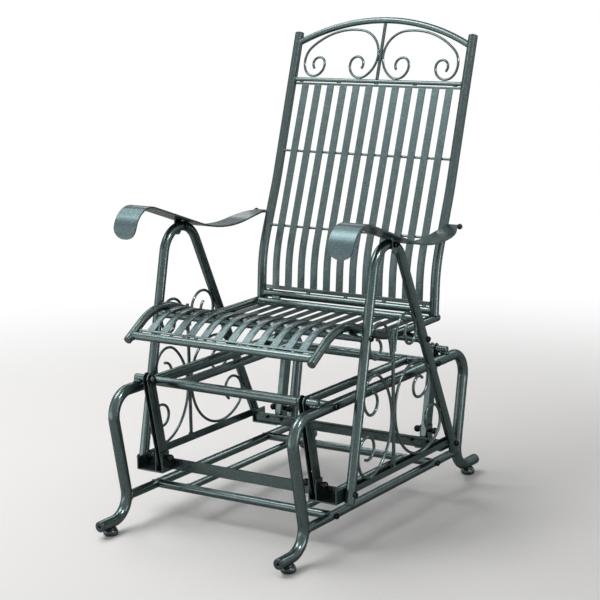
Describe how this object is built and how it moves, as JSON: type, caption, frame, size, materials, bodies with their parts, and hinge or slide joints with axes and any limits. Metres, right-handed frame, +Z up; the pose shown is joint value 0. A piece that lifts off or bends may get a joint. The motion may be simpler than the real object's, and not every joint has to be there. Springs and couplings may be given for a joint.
{
  "type": "glider chair",
  "caption": "Metal glider chair with slatted seat and back, scrolled arm panels and a seat carriage hung from swing arms so that it glides back and forth.",
  "frame": {"origin": "on the floor under the middle of the chair's width and depth", "axes": "+Z up, -Y the way the sitter faces, +X to the sitter's left"},
  "size_m": [0.62, 0.868, 1.0898],
  "materials": {
    "frame_paint": "dark green hammered powder coat, half gloss",
    "bolt_black": "gloss black",
    "cap_plastic": "dark moulded plastic"
  },
  "bodies": {
    "base": {"right_leg_frame": "frame_paint", "left_leg_frame": "frame_paint", "right_lower_rail": "frame_paint", "left_lower_rail": "frame_paint", "front_lower_cross_tube": "frame_paint", "rear_lower_cross_tube": "frame_paint", "front_upper_cross_tube": "frame_paint", "rear_upper_cross_tube": "frame_paint", "upper_brace_bars": "frame_paint", "lower_brace_bars": "frame_paint", "foot_pads": "cap_plastic", "toe_caps": "cap_plastic", "pivot_stubs": "frame_paint", "base_bolts": "bolt_black", "upper_pivot_pins": "bolt_black"},
    "front_arms": {"left_front_swing_arm": "frame_paint", "right_front_swing_arm": "frame_paint"},
    "rear_arms": {"left_rear_swing_arm": "frame_paint", "right_rear_swing_arm": "frame_paint"},
    "carriage": {"armrest_lugs": "frame_paint", "armrest_tabs": "frame_paint", "back_bottom_tube": "frame_paint", "back_header_tube": "frame_paint", "back_rods": "frame_paint", "back_slats": "frame_paint", "back_strips": "frame_paint", "back_top_arch": "frame_paint", "corner_brackets": "frame_paint", "crest_centre_bar": "frame_paint", "crest_scrolls": "frame_paint", "frame_bolts": "bolt_black", "front_platform_bar": "frame_paint", "front_seat_support": "frame_paint", "left_arm_frame": "frame_paint", "left_armrest": "frame_paint", "left_back_post": "frame_paint", "left_front_scroll": "frame_paint", "left_rear_scroll": "frame_paint", "left_seat_rail": "frame_paint", "left_side_channel": "frame_paint", "lower_pivot_bolts": "bolt_black", "panel_centre_bars": "frame_paint", "rear_platform_bar": "frame_paint", "rear_seat_support": "frame_paint", "right_arm_frame": "frame_paint", "right_armrest": "frame_paint", "right_back_post": "frame_paint", "right_front_scroll": "frame_paint", "right_rear_scroll": "frame_paint", "right_seat_rail": "frame_paint", "right_side_channel": "frame_paint", "scroll_hooks": "frame_paint", "seat_back_brackets": "frame_paint", "seat_front_tube": "frame_paint", "seat_rear_tube": "frame_paint", "seat_slats": "frame_paint", "seat_strips": "frame_paint", "tray_bolts": "bolt_black", "tube_caps": "cap_plastic"}
  },
  "joints": [
    {"name": "glide", "type": "hinge", "parent": "base", "child": "front_arms", "pos_m": [0, -0.281, 0.331], "axis": [1, 0, 0], "range_deg": [-12, 12]},
    {"name": "carriage_swing", "type": "hinge", "parent": "front_arms", "child": "carriage", "pos_m": [0, -0.242, 0.143], "axis": [1, 0, 0], "range_deg": [-14, 14]},
    {"name": "rear_swing", "type": "hinge", "parent": "base", "child": "rear_arms", "pos_m": [0, 0.281, 0.331], "axis": [1, 0, 0], "range_deg": [-12.1, 12.1]}
  ],
  "couplings": [
    {"joint": "carriage_swing", "follows": "glide", "ratio": -1.1612},
    {"joint": "rear_swing", "follows": "glide", "ratio": 1}
  ]
}
